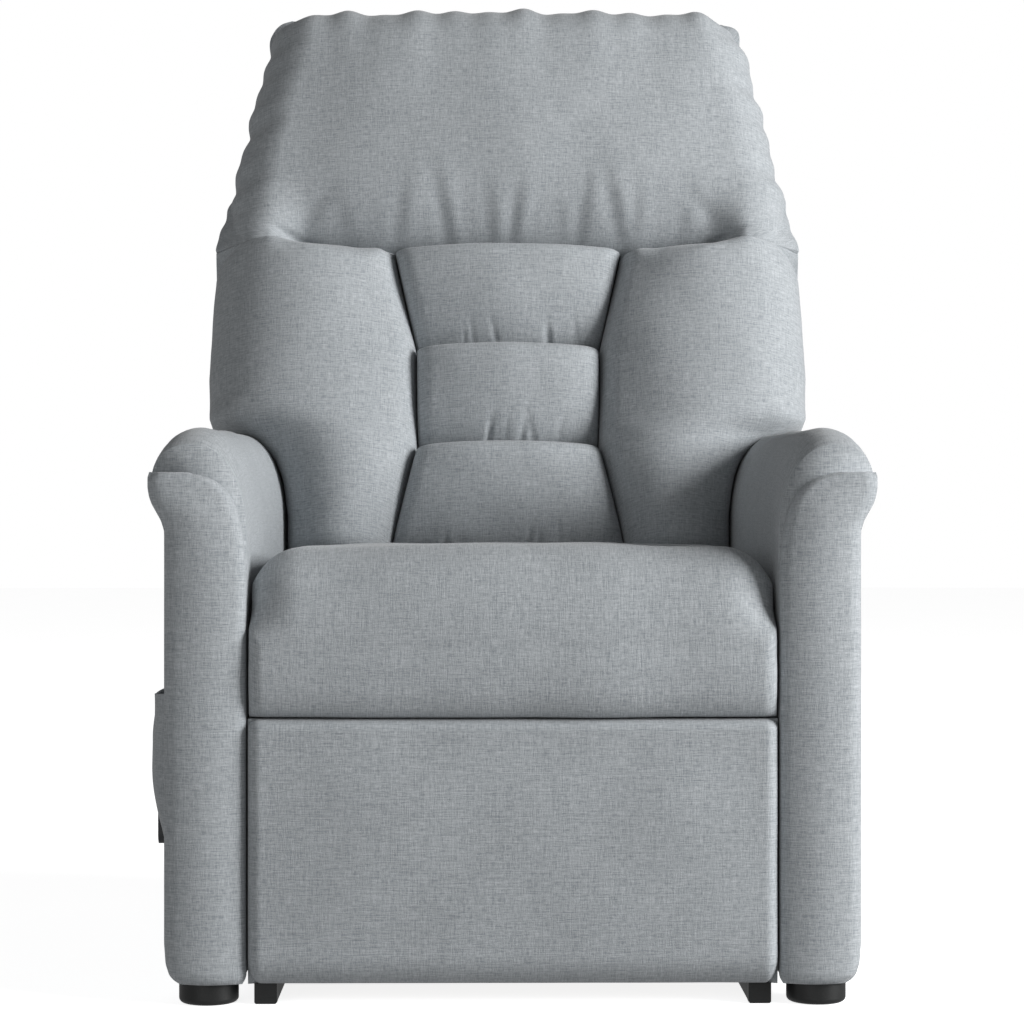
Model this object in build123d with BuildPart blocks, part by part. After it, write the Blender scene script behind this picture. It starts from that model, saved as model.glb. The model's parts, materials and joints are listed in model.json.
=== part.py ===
from build123d import *
import os

# Powered lift recliner chair. Millimetres, +Z up, origin on the floor in the middle of
# the chair. The chair faces -Y, and +X is towards the right of someone looking at its front.

# overall sizes
FRONT_Y = -450
INNER_X = 258
OUTER_X = 336
ROLL_X = 349
ARM_BACK_Y = 240
ARM_TOP_Z = 568
ARM_SEAM_Z = 511
UNDERSIDE_Z = 23
GAP = 0.5

# base frame
RAIL_X = 239.5
RAIL_WIDTH = 22
RAIL_BOTTOM_Z = 2
RAIL_TOP_Z = 20
RAIL_FRONT_Y = -414
RAIL_BACK_Y = 290
CAP_LENGTH = 12
END_CAP_CHAMFER = 1.5
FRONT_TUBE_Y = -272
MIDDLE_TUBE_Y = 0
REAR_TUBE_Y = 190
CROSS_TUBE_SIZE = 24

# pivots as (y, z)
LIFT_REAR_BASE = (-250.0, 100.0)
LIFT_REAR_CHAIR = (129.0, 235.0)
LIFT_FRONT_BASE = (-297.0, 60.0)
LIFT_FRONT_CHAIR = (-73.7, 121.0)
LEG_A_CHAIR = (-275.0, 181.0)
LEG_A_C = (-290.0, 35.0)
LEG_A_D = (-265.9, 43.1)
LEG_C_BRACKET = (-368.0, 200.0)
LEG_D_BRACKET = (-334.0, 203.0)
BACK_HINGE = (150.0, 330.0)

# plate layers, as the distance of each plate's inner face from the centre plane
INNER_BRACKET_X = 188
LIFT_FRONT_LINK_X = 194
BRACKET_X = 203
LIFT_LINK_X = 208
CHAIR_PLATE_X = 215
LEG_A_X = 220
LEG_C_X = 225
LEG_D_X = 230
LEG_BRACKET_X = 235
LEG_BRACKET_OUT_X = 239
PLATE = 4
LIFT_LINK_THICK = 6
LINK_R = 10
PIN_R = 5
RUNNING = 0.05
LOOSE = 0.4
LOOSE_LEG_PIN = 1.4
TORQUE_TUBE_R = 12
LEG_TUBE_R = 8
TUBE_WALL = 2.5

# drive levers and actuators: lever pins as (y, z), x of each drive and height of each rod
LIFT_LEVER_PIN = (-255.7, 145.5)
LEG_LEVER_PIN = (-244.4, 162.1)
BACK_LEVER_PIN = (166.8, 267.2)
LIFT_DRIVE_X = 0
LEG_DRIVE_X = 92
BACK_DRIVE_X = -92
LIFT_ROD_Z = 150
LEG_ROD_Z = 153.5
BACK_ROD_Z = 265
DRIVE_PIN_R = 4

# seat and leg rest
SEAT_X = 255
SEAT_FRONT_Y = -452
SEAT_BACK_Y = 36
SEAT_TOP_Z = 440
SEAT_REAR_TOP_Z = 426
SEAT_BOTTOM_Z = 318.3
LIP_BOTTOM_Z = 279
LIP_BACK_Y = -404
RAIL_WOOD_BOTTOM_Z = 278
RAIL_WOOD_TOP_Z = 316
LEG_PAD_TOP_Z = 273
LEG_PAD_BACK_Y = -398
BOARD_THICK = 12

# back rest: local plane on the front of the cushions, X across, Y up the back, Z forwards
BACK_LEAN = 15
BACK_PLANE = Plane(Location((0, 45, 440), (90 - BACK_LEAN, 0, 0)))
BACK_TOP = 660
FOLD = 362
WING_BOTTOM = 150
BACK_PAD_DEPTH = 110
BACK_FRAME_DEPTH = 26
BACK_COVER_DEPTH = 30
COVER_BOTTOM = -20

os.makedirs("parts", exist_ok=True)


def keep(piece, name):
    piece.label = name
    export_step(piece, f"parts/{name}.step")


# ---------------------------------------------------------------- base frame

with BuildPart() as base_rails:
    with BuildSketch(Plane.XZ.offset(-RAIL_FRONT_Y)):
        with Locations((RAIL_X, (RAIL_BOTTOM_Z + RAIL_TOP_Z) / 2)):
            Rectangle(RAIL_WIDTH, RAIL_TOP_Z - RAIL_BOTTOM_Z)
            Rectangle(RAIL_WIDTH - 3, RAIL_TOP_Z - RAIL_BOTTOM_Z - 3, mode=Mode.SUBTRACT)
    extrude(amount=-(RAIL_BACK_Y - RAIL_FRONT_Y))
    mirror(about=Plane.YZ)
keep(base_rails.part, "base_rails")

# moulded end caps close the rails and stand on the floor
with BuildPart() as base_end_caps:
    for end_y, inward in ((RAIL_FRONT_Y - CAP_LENGTH, 1), (RAIL_BACK_Y, 1)):
        with BuildSketch(Plane.XZ.offset(-end_y)):
            with Locations((RAIL_X, RAIL_TOP_Z / 2)):
                Rectangle(RAIL_WIDTH, RAIL_TOP_Z)
            chamfer(vertices().sort_by(Axis.Y)[:2], length=END_CAP_CHAMFER)
        extrude(amount=-CAP_LENGTH)
    # flat pads under the rails
    for pad_y in (-300, 230):
        with Locations((RAIL_X, pad_y, RAIL_BOTTOM_Z / 2)):
            Box(RAIL_WIDTH - 2, 50, RAIL_BOTTOM_Z)
    mirror(about=Plane.YZ)
    # strip under the middle cross tube
    with Locations((0, MIDDLE_TUBE_Y, RAIL_BOTTOM_Z / 2)):
        Box(2 * RAIL_X, CROSS_TUBE_SIZE - 2, RAIL_BOTTOM_Z)
keep(base_end_caps.part, "base_end_caps")

with BuildPart() as base_cross_tubes:
    for tube_y in (FRONT_TUBE_Y, MIDDLE_TUBE_Y, REAR_TUBE_Y):
        with BuildSketch(Plane.YZ.offset(RAIL_WIDTH / 2 - RAIL_X)):
            with Locations((tube_y, RAIL_BOTTOM_Z + CROSS_TUBE_SIZE / 2)):
                Rectangle(CROSS_TUBE_SIZE, CROSS_TUBE_SIZE)
                Rectangle(CROSS_TUBE_SIZE - 4, CROSS_TUBE_SIZE - 4, mode=Mode.SUBTRACT)
        extrude(amount=2 * RAIL_X - RAIL_WIDTH)
keep(base_cross_tubes.part, "base_cross_tubes")

# upright plates that carry the four lift links
BRACKET_FOOT_Z = RAIL_BOTTOM_Z + CROSS_TUBE_SIZE
with BuildPart() as base_pivot_brackets:
    with BuildSketch(Plane.YZ.offset(BRACKET_X)):
        for centre, radius in (
            (LIFT_REAR_BASE, 16),
            (LIFT_FRONT_BASE, 20),
            ((FRONT_TUBE_Y - 8, BRACKET_FOOT_Z + 4), 4),
            ((FRONT_TUBE_Y + 8, BRACKET_FOOT_Z + 4), 4),
        ):
            with Locations(centre):
                Circle(radius)
        make_hull()
        with Locations(LIFT_FRONT_BASE):
            Circle(TORQUE_TUBE_R + RUNNING, mode=Mode.SUBTRACT)
    extrude(amount=PLATE)
    with BuildSketch(Plane.YZ.offset(BRACKET_X)):
        with Locations(LIFT_REAR_BASE):
            Circle(PIN_R + 1)
    extrude(amount=PLATE + 1 + LIFT_LINK_THICK + 0.5)
    mirror(about=Plane.YZ)
keep(base_pivot_brackets.part, "base_pivot_brackets")

# ---------------------------------------------------------------- lift links

with BuildPart() as lift_rear_links:
    with BuildSketch(Plane.YZ.offset(LIFT_LINK_X)):
        for centre in (LIFT_REAR_BASE, LIFT_REAR_CHAIR):
            with Locations(centre):
                Circle(14)
        make_hull()
        for centre in (LIFT_REAR_BASE, LIFT_REAR_CHAIR):
            with Locations(centre):
                Circle(PIN_R + 1 + RUNNING, mode=Mode.SUBTRACT)
    extrude(amount=LIFT_LINK_THICK)
    mirror(about=Plane.YZ)
keep(lift_rear_links.part, "lift_rear_links")

with BuildPart() as lift_front_links:
    with BuildSketch(Plane.YZ.offset(LIFT_FRONT_LINK_X)):
        for centre, radius in ((LIFT_FRONT_BASE, 16), (LIFT_FRONT_CHAIR, 13)):
            with Locations(centre):
                Circle(radius)
        make_hull()
        with Locations(LIFT_FRONT_BASE):
            Circle(TORQUE_TUBE_R, mode=Mode.SUBTRACT)
        with Locations(LIFT_FRONT_CHAIR):
            Circle(PIN_R + LOOSE, mode=Mode.SUBTRACT)
    extrude(amount=LIFT_LINK_THICK)
    mirror(about=Plane.YZ)
keep(lift_front_links.part, "lift_front_links")

# round tubes that join the left and right links: name, pivot, half length, radius
for tube_name, pivot, reach, tube_r in (
    ("lift_rear_tube", LIFT_REAR_CHAIR, LIFT_LINK_X, TORQUE_TUBE_R),
    ("lift_front_tube", LIFT_FRONT_BASE, BRACKET_X + PLATE + 0.5, TORQUE_TUBE_R),
    ("leg_drive_tube", LEG_A_CHAIR, LEG_A_X, LEG_TUBE_R),
):
    with BuildPart() as torque_tube:
        with BuildSketch(Plane.YZ.offset(-reach)):
            with Locations(pivot):
                Circle(tube_r)
                Circle(tube_r - TUBE_WALL, mode=Mode.SUBTRACT)
        extrude(amount=2 * reach)
    keep(torque_tube.part, tube_name)

# ---------------------------------------------------------------- drive levers and actuators

# each lever is a plate with a hub on its tube and a drive pin: name, hub, hub bore, pin, x
LEVER_GAP = 7
YOKE_THICK = 6
for lever_name, hub, hub_r, bore_r, pin_at, drive_x in (
    ("lift_lever", LIFT_FRONT_BASE, 18, TORQUE_TUBE_R, LIFT_LEVER_PIN, LIFT_DRIVE_X),
    ("leg_lever", LEG_A_CHAIR, 14, LEG_TUBE_R, LEG_LEVER_PIN, LEG_DRIVE_X),
    ("back_lever", (170.0, 424.0), 9, 0, BACK_LEVER_PIN, BACK_DRIVE_X),
):
    with BuildPart() as lever:
        with BuildSketch(Plane.YZ.offset(drive_x - YOKE_THICK / 2 - LEVER_GAP - 5)):
            with Locations(hub):
                Circle(hub_r)
            with Locations(pin_at):
                Circle(9 if bore_r == 0 or pin_at == LIFT_LEVER_PIN else 7)
            make_hull()
            if bore_r:
                with Locations(hub):
                    Circle(bore_r, mode=Mode.SUBTRACT)
        extrude(amount=5)
        with BuildSketch(Plane.YZ.offset(drive_x - YOKE_THICK / 2 - LEVER_GAP - 5)):
            with Locations(pin_at):
                Circle(DRIVE_PIN_R)
        extrude(amount=5 + LEVER_GAP + YOKE_THICK + 2)
    keep(lever.part, lever_name)

# each rod ends in a plate with an upright slot for the lever's pin:
# name, x, height, pin y, slot half height, slot half width, y of the rod's other end, radius
for rod_name, drive_x, rod_z, pin_y, slot_up, slot_across, far_y, rod_r in (
    ("lift_rod", LIFT_DRIVE_X, LIFT_ROD_Z, LIFT_LEVER_PIN[0], 10.5, 5.4, -50, 9),
    ("leg_rod", LEG_DRIVE_X, LEG_ROD_Z, LEG_LEVER_PIN[0], 13.2, 7, -100, 8),
    ("back_rod", BACK_DRIVE_X, BACK_ROD_Z, BACK_LEVER_PIN[0], 8, 5.2, 40, 7),
):
    direction = 1 if far_y > pin_y else -1
    start_y = pin_y + direction * (slot_across + 3)
    with BuildPart() as rod:
        with BuildSketch(Plane.YZ.offset(drive_x - YOKE_THICK / 2)):
            with Locations((pin_y, rod_z)):
                RectangleRounded(2 * slot_across + 10, 2 * slot_up + 10, 4)
                SlotOverall(2 * slot_up, 2 * slot_across, rotation=90, mode=Mode.SUBTRACT)
        extrude(amount=YOKE_THICK)
        with BuildSketch(Plane.XZ.offset(-start_y)):
            with Locations((drive_x, rod_z)):
                Circle(rod_r)
        extrude(amount=-(far_y - start_y))
        with BuildSketch(Plane.YZ.offset(drive_x - rod_r)):
            with Locations((pin_y, rod_z)):
                SlotOverall(2 * slot_up, 2 * slot_across, rotation=90)
        extrude(amount=2 * rod_r, mode=Mode.SUBTRACT)
    keep(rod.part, rod_name)

# actuator tubes and motor housings: name, x, height, tube ends, tube radius, rod radius,
# housing ends, housing half width, housing bottom and top
for drive, drive_x, z, tube_y, tube_r, rod_r, box_y, half_x, box_z in (
    ("lift", LIFT_DRIVE_X, LIFT_ROD_Z, (-225, 90), 17, 9, (90, 178), 34, (112, 188)),
    ("leg", LEG_DRIVE_X, LEG_ROD_Z, (-222, -64), 13, 8, (-64, 6), 28, (124, 214)),
    ("back", BACK_DRIVE_X, BACK_ROD_Z, (114, -10), 11, 7, (-80, -10), 26, (222, 276)),
):
    with BuildPart() as actuator_tube:
        with BuildSketch(Plane.XZ.offset(-tube_y[0])):
            with Locations((drive_x, z)):
                Circle(tube_r)
                Circle(rod_r + 0.08, mode=Mode.SUBTRACT)
        extrude(amount=-(tube_y[1] - tube_y[0]))
    keep(actuator_tube.part, f"{drive}_actuator_tube")
    with BuildPart() as motor:
        with Locations((drive_x, sum(box_y) / 2, sum(box_z) / 2)):
            Box(2 * half_x, box_y[1] - box_y[0], box_z[1] - box_z[0])
        fillet(motor.edges().filter_by(Axis.Y), radius=10)
        # socket for the motor's lead
        socket_y = box_y[1] if drive != "back" else box_y[0]
        outward = 1 if drive != "back" else -1
        with BuildSketch(Plane.XZ.offset(-socket_y)):
            with Locations((drive_x + half_x - 14, z)):
                Circle(5)
        extrude(amount=8 * outward, mode=Mode.SUBTRACT)
    keep(motor.part, f"{drive}_motor")

# post on the rear cross tube that holds the lift motor
with BuildPart() as lift_motor_bracket:
    with Locations((0, 184, (BRACKET_FOOT_Z + 176) / 2)):
        Box(46, 12, 176 - BRACKET_FOOT_Z)
    for side in (-1, 1):
        with BuildSketch(Plane.YZ.offset(side * 20 - 2)):
            with BuildLine():
                Polyline(
                    (190, BRACKET_FOOT_Z), (200, BRACKET_FOOT_Z), (190, 120), (190, BRACKET_FOOT_Z)
                )
            make_face()
        extrude(amount=4)
keep(lift_motor_bracket.part, "lift_motor_bracket")

# ---------------------------------------------------------------- chair frame

with BuildPart() as mechanism_plates:
    for corners in (
        ((LEG_A_CHAIR, 20), (LIFT_FRONT_CHAIR, 16), (LIFT_REAR_CHAIR, 18), ((-370, 268), 8), ((30, 268), 8)),
        ((LIFT_REAR_CHAIR, 18), (BACK_HINGE, 16), ((60, 261), 15)),
    ):
        with BuildSketch(Plane.YZ.offset(CHAIR_PLATE_X)):
            for centre, radius in corners:
                with Locations(centre):
                    Circle(radius)
            make_hull()
        extrude(amount=PLATE)
    with BuildSketch(Plane.YZ.offset(CHAIR_PLATE_X)):
        with Locations(LEG_A_CHAIR):
            Circle(LEG_TUBE_R + RUNNING)
    extrude(amount=PLATE, mode=Mode.SUBTRACT)
    for centre, radius, tip in (
        (LIFT_REAR_CHAIR, PIN_R + 1, LIFT_LINK_X - 0.5),
        (BACK_HINGE, 8, LIFT_LINK_X),
    ):
        with BuildSketch(Plane.YZ.offset(tip)):
            with Locations(centre):
                Circle(radius)
        extrude(amount=CHAIR_PLATE_X + PLATE - tip)
    mirror(about=Plane.YZ)
keep(mechanism_plates.part, "mechanism_plates")

# inner brackets hang from the cross bars and carry the front lift links
CROSS_BARS = ((-88, 247), (0, 229))
with BuildPart() as lift_inner_brackets:
    with BuildSketch(Plane.YZ.offset(INNER_BRACKET_X)):
        for centre, radius in ((LIFT_FRONT_CHAIR, 14), ((-88, 225.9), 6), ((-8, 207.7), 6)):
            with Locations(centre):
                Circle(radius)
        make_hull()
    extrude(amount=PLATE)
    with BuildSketch(Plane.YZ.offset(INNER_BRACKET_X)):
        with Locations(LIFT_FRONT_CHAIR):
            Circle(PIN_R)
    extrude(amount=LIFT_FRONT_LINK_X + LIFT_LINK_THICK + 0.5 - INNER_BRACKET_X)
    mirror(about=Plane.YZ)
keep(lift_inner_brackets.part, "lift_inner_brackets")

# wooden rails round the seat
RAIL_MID_Z = (RAIL_WOOD_BOTTOM_Z + RAIL_WOOD_TOP_Z) / 2
RAIL_HEIGHT = RAIL_WOOD_TOP_Z - RAIL_WOOD_BOTTOM_Z
with BuildPart() as seat_rails_across:
    for rail_y in (-387, 31):
        with Locations((0, rail_y, RAIL_MID_Z)):
            Box(2 * INNER_X, 26, RAIL_HEIGHT)
keep(seat_rails_across.part, "seat_rails_across")

with BuildPart() as seat_rails_side:
    with Locations((238, -178, RAIL_MID_Z)):
        Box(40, 392, RAIL_HEIGHT)
    mirror(about=Plane.YZ)
keep(seat_rails_side.part, "seat_rails_side")

with BuildPart() as seat_webbing:
    with Locations((0, -178, RAIL_WOOD_TOP_Z + 1)):
        with GridLocations(90, 1, 5, 1):
            Box(60, 436, 2)
keep(seat_webbing.part, "seat_webbing")

# bars between the mechanism plates that carry the two upper motors: y, z
with BuildPart() as motor_cross_bars:
    for bar_y, bar_z in CROSS_BARS:
        with Locations((0, bar_y, bar_z)):
            Box(2 * CHAIR_PLATE_X, 16, 30)
keep(motor_cross_bars.part, "motor_cross_bars")

with BuildPart() as power_box:
    with Locations((0, 69, 296)):
        Box(110, 50, 34)
    fillet(power_box.edges().filter_by(Axis.Y), radius=5)
    with BuildSketch(Plane.XZ.offset(-94)):
        with Locations((-35, 296)):
            Rectangle(18, 12)
        with Locations((0, 296), (22, 296), (40, 296)):
            Circle(5)
    extrude(amount=9, mode=Mode.SUBTRACT)
keep(power_box.part, "power_box")

# ---------------------------------------------------------------- seat and arms

with BuildPart() as seat_cushion:
    with BuildSketch(Plane.YZ.offset(-SEAT_X)):
        with BuildLine():
            Spline(
                (SEAT_BACK_Y, SEAT_REAR_TOP_Z),
                (-180, SEAT_TOP_Z),
                (-380, SEAT_TOP_Z - 7),
                (-436, 402),
                (SEAT_FRONT_Y, 345),
                (SEAT_FRONT_Y + 3, 300),
                (-441, LIP_BOTTOM_Z),
            )
            Polyline(
                (-441, LIP_BOTTOM_Z),
                (LIP_BACK_Y, LIP_BOTTOM_Z),
                (LIP_BACK_Y, SEAT_BOTTOM_Z),
                (SEAT_BACK_Y, SEAT_BOTTOM_Z),
                (SEAT_BACK_Y, SEAT_REAR_TOP_Z),
            )
        make_face()
    extrude(amount=2 * SEAT_X)
    with BuildSketch(Plane.XZ.offset(-SEAT_FRONT_Y + 10)):
        with Locations((0, (LIP_BOTTOM_Z + SEAT_TOP_Z + 1) / 2)):
            RectangleRounded(2 * SEAT_X, SEAT_TOP_Z + 1 - LIP_BOTTOM_Z, 22)
    extrude(amount=-600, mode=Mode.INTERSECT)
keep(seat_cushion.part, "seat_cushion")

ARM_FRONT_DEPTH = 12
for side_name, side in (("left", -1), ("right", 1)):
    with BuildPart() as arm_body:
        with BuildSketch(Plane.XZ.offset(-ARM_BACK_Y)):
            with BuildLine():
                Polyline((INNER_X, 480), (INNER_X, UNDERSIDE_Z), (OUTER_X, UNDERSIDE_Z), (OUTER_X, 465))
                Spline(
                    (OUTER_X, 465),
                    (345, 486),
                    (ROLL_X + 1, 512),
                    (345, 545),
                    (328, 568),
                    (305, 571),
                    (280, 552),
                    (266, 520),
                    (INNER_X, 480),
                )
            make_face()
        extrude(amount=ARM_BACK_Y - FRONT_Y - ARM_FRONT_DEPTH)
        # the top rolls down at the front and slopes away at the back
        with BuildSketch(Plane.YZ.offset(INNER_X - 5)):
            with BuildLine():
                Spline((-438, 514), (-430, 532), (-400, 553), (-340, 565), (-150, 571), (100, 574))
                Polyline(
                    (100, 574), (150, 572), (212, 560), (236, 520), (ARM_BACK_Y, 490),
                    (ARM_BACK_Y, UNDERSIDE_Z), (-438, UNDERSIDE_Z), (-438, 514),
                )
            make_face()
        extrude(amount=120, mode=Mode.INTERSECT)
        # room for the wooden frame
        with Locations(((INNER_X + OUTER_X) / 2, -99, 246)):
            Box(62, 662, 428, mode=Mode.SUBTRACT)
        if side < 0:
            mirror(about=Plane.YZ, mode=Mode.REPLACE)
    keep(arm_body.part, f"arm_body_{side_name}")

    with BuildPart() as arm_front:
        with BuildSketch(Plane.XZ.offset(-FRONT_Y - ARM_FRONT_DEPTH)):
            with BuildLine():
                Polyline(
                    (INNER_X, 420), (INNER_X, UNDERSIDE_Z + 4), (INNER_X + 4, UNDERSIDE_Z),
                    (OUTER_X - 6, UNDERSIDE_Z), (OUTER_X, UNDERSIDE_Z + 6), (OUTER_X, 465),
                )
                Spline((OUTER_X, 465), (341, 478), (348, 498), (ROLL_X - 1, ARM_SEAM_Z))
                Line((ROLL_X - 1, ARM_SEAM_Z), (306, ARM_SEAM_Z + 1.5))
                Spline((306, ARM_SEAM_Z + 1.5), (291, 509), (279, 500), (269, 484), (262, 455), (INNER_X, 420))
            make_face()
        extrude(amount=ARM_FRONT_DEPTH)
        if side < 0:
            mirror(about=Plane.YZ, mode=Mode.REPLACE)
    keep(arm_front.part, f"arm_front_{side_name}")

    with BuildPart() as arm_frame:
        with BuildSketch(Plane.YZ.offset(side * 297 - 29)):
            with Locations((-99, 246)):
                Rectangle(660, 426)
                Rectangle(560, 326, mode=Mode.SUBTRACT)
        extrude(amount=58)
    keep(arm_frame.part, f"arm_frame_{side_name}")

with BuildPart() as feet:
    for foot_y in (-410, 180):
        for foot_x in (-295.8, 295.8):
            with Locations((foot_x, foot_y, UNDERSIDE_Z / 2)):
                Cylinder(29, UNDERSIDE_Z)
    fillet(feet.edges().group_by(Axis.Z)[0], radius=5)
keep(feet.part, "feet")

with BuildPart() as rear_panel:
    with Locations((0, 233, 202)):
        Box(2 * INNER_X, 6, 284)
keep(rear_panel.part, "rear_panel")

# ---------------------------------------------------------------- side pocket and handset

POCKET_OUT_X = -370
POCKET_Y = (-330, -130)
POCKET_Z = (128, 294)
POCKET_HEIGHT = POCKET_Z[1] - POCKET_Z[0]
with BuildPart() as side_pocket:
    with Locations(((POCKET_OUT_X - OUTER_X) / 2, sum(POCKET_Y) / 2, sum(POCKET_Z) / 2)):
        Box(-POCKET_OUT_X - OUTER_X, 200, POCKET_HEIGHT)
    fillet(side_pocket.edges().filter_by(Axis.Z).sort_by(Axis.X)[:2], radius=8)
    with Locations(((POCKET_OUT_X - OUTER_X) / 2, sum(POCKET_Y) / 2, sum(POCKET_Z) / 2 + 4)):
        Box(-POCKET_OUT_X - OUTER_X - 6, 190, POCKET_HEIGHT, mode=Mode.SUBTRACT)
keep(side_pocket.part, "side_pocket")

HANDSET = (-353, -230, 209)
HANDSET_SIZE = (22, 52, 150)
BUTTON_RISE = 1.5
BUTTON_RECESS = 4
BUTTON_PLACES = [(y, z) for z in (234, 258) for y in (-241, -219)]
HANDSET_FACE_X = HANDSET[0] - HANDSET_SIZE[0] / 2
with BuildPart() as handset_shell:
    with Locations(HANDSET):
        Box(*HANDSET_SIZE)
    fillet(handset_shell.edges().filter_by(Axis.X), radius=10)
    with BuildSketch(Plane.YZ.offset(HANDSET_FACE_X)):
        with Locations(*BUTTON_PLACES):
            RectangleRounded(16, 14, 4)
    extrude(amount=BUTTON_RECESS, mode=Mode.SUBTRACT)
    # lead socket in the lower end
    with BuildSketch(Plane.XY.offset(HANDSET[2] - HANDSET_SIZE[2] / 2)):
        with Locations(HANDSET[:2]):
            Circle(4)
    extrude(amount=10, mode=Mode.SUBTRACT)
keep(handset_shell.part, "handset_shell")

for button_name, button_at in zip(("rise", "lower", "recline", "sit_up"), BUTTON_PLACES):
    with BuildPart() as button:
        with BuildSketch(Plane.YZ.offset(HANDSET_FACE_X - BUTTON_RISE)):
            with Locations(button_at):
                RectangleRounded(15.4, 13.4, 3.7)
        extrude(amount=BUTTON_RISE + BUTTON_RECESS - 1.6)
    keep(button.part, f"button_{button_name}")

# ---------------------------------------------------------------- leg rest

with BuildPart() as leg_links_a:
    with BuildSketch(Plane.YZ.offset(LEG_A_X)):
        for centre, radius in ((LEG_A_CHAIR, 16), (LEG_A_C, LINK_R), (LEG_A_D, LINK_R)):
            with Locations(centre):
                Circle(radius)
        make_hull()
    extrude(amount=PLATE)
    for centre, radius, tip in ((LEG_A_C, PIN_R, LEG_C_X), (LEG_A_D, PIN_R - 1, LEG_D_X)):
        with BuildSketch(Plane.YZ.offset(LEG_A_X)):
            with Locations(centre):
                Circle(radius)
        extrude(amount=tip + PLATE - LEG_A_X)
    mirror(about=Plane.YZ)
keep(leg_links_a.part, "leg_links_a")

# outer links: name, layer, ends, hole radii
for link_name, layer, ends, holes in (
    ("leg_links_c", LEG_C_X, (LEG_A_C, LEG_C_BRACKET), (PIN_R + RUNNING, PIN_R + RUNNING)),
    ("leg_links_d", LEG_D_X, (LEG_A_D, LEG_D_BRACKET), (PIN_R - 1 + RUNNING, PIN_R - 1 + LOOSE_LEG_PIN)),
):
    with BuildPart() as leg_link:
        with BuildSketch(Plane.YZ.offset(layer)):
            for centre in ends:
                with Locations(centre):
                    Circle(LINK_R)
            make_hull()
            for centre, radius in zip(ends, holes):
                with Locations(centre):
                    Circle(radius, mode=Mode.SUBTRACT)
        extrude(amount=PLATE)
        mirror(about=Plane.YZ)
    keep(leg_link.part, link_name)

BOARD_BACK_Y = LEG_PAD_BACK_Y + BOARD_THICK
with BuildPart() as leg_rest_brackets:
    with BuildSketch(Plane.YZ.offset(LEG_BRACKET_X)):
        for centre, radius in (
            (LEG_C_BRACKET, LINK_R), (LEG_D_BRACKET, LINK_R),
            ((BOARD_BACK_Y + 6, 246), 6), ((BOARD_BACK_Y + 6, 130), 6),
        ):
            with Locations(centre):
                Circle(radius)
        make_hull()
    extrude(amount=PLATE)
    for centre, radius, tip in ((LEG_C_BRACKET, PIN_R, LEG_C_X), (LEG_D_BRACKET, PIN_R - 1, LEG_D_X)):
        with BuildSketch(Plane.YZ.offset(tip)):
            with Locations(centre):
                Circle(radius)
        extrude(amount=LEG_BRACKET_X + PLATE - tip)
    mirror(about=Plane.YZ)
keep(leg_rest_brackets.part, "leg_rest_brackets")

with BuildPart() as leg_rest_board:
    with Locations((0, LEG_PAD_BACK_Y + BOARD_THICK / 2, 151)):
        Box(494, BOARD_THICK, 222)
keep(leg_rest_board.part, "leg_rest_board")

with BuildPart() as leg_rest_pad:
    with BuildSketch(Plane.XZ.offset(-FRONT_Y)):
        with Locations((0, (UNDERSIDE_Z - 1 + LEG_PAD_TOP_Z) / 2)):
            RectangleRounded(2 * INNER_X - 3, LEG_PAD_TOP_Z - UNDERSIDE_Z + 1, 9)
    extrude(amount=FRONT_Y - LEG_PAD_BACK_Y)
    fillet(leg_rest_pad.faces().sort_by(Axis.Y)[0].edges(), radius=8)
keep(leg_rest_pad.part, "leg_rest_pad")

# ---------------------------------------------------------------- back rest

# half widths of the back at heights along it, and of the seam beside the centre panels
OUTER_EDGE = [(345, WING_BOTTOM), (349, 203), (345, 290), (337, FOLD)]
SEAM_EDGE = [(135, FOLD), (108, 246), (107, 126), (141, -8)]
ARM_CLEAR = 254
WING_CLEAR_Z = 585

for side_name, side in (("left", -1), ("right", 1)):
    with BuildPart() as back_side:
        with BuildSketch(BACK_PLANE):
            with BuildLine():
                Polyline(
                    *SEAM_EDGE, (ARM_CLEAR, -8), (ARM_CLEAR, 100), OUTER_EDGE[0], *OUTER_EDGE[1:],
                    SEAM_EDGE[0],
                )
            make_face()
        extrude(amount=-BACK_PAD_DEPTH)
        with Locations((ARM_CLEAR + 60, 150, WING_CLEAR_Z - 100)):
            Box(120, 400, 200, mode=Mode.SUBTRACT)
        if side < 0:
            mirror(about=Plane.YZ, mode=Mode.REPLACE)
    keep(back_side.part, f"back_side_{side_name}")

# the three centre panels, each a trapezoid: name, lower half width and height, upper
PANEL_GAP = 1
for panel_name, low, high in (
    ("back_centre_top", SEAM_EDGE[1], SEAM_EDGE[0]),
    ("back_centre_middle", SEAM_EDGE[2], SEAM_EDGE[1]),
    ("back_centre_bottom", SEAM_EDGE[3], SEAM_EDGE[2]),
):
    with BuildPart() as back_centre:
        with BuildSketch(BACK_PLANE):
            with BuildLine():
                Polyline(
                    (low[0] - PANEL_GAP, low[1]), (high[0] - PANEL_GAP, high[1] - PANEL_GAP),
                    (PANEL_GAP - high[0], high[1] - PANEL_GAP), (PANEL_GAP - low[0], low[1]),
                    close=True,
                )
            make_face()
        extrude(amount=-BACK_PAD_DEPTH)
    keep(back_centre.part, panel_name)

with BuildPart() as headrest:
    with BuildSketch(BACK_PLANE.offset(12)):
        with BuildLine():
            Polyline(
                (337, FOLD + 1), (330, 410), (311, 520), (293, 610), (287, 640), (262, BACK_TOP),
                (-262, BACK_TOP), (-287, 640), (-293, 610), (-311, 520), (-330, 410), (-337, FOLD + 1),
                close=True,
            )
        make_face()
    extrude(amount=-BACK_PAD_DEPTH - 12)
keep(headrest.part, "headrest")

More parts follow.
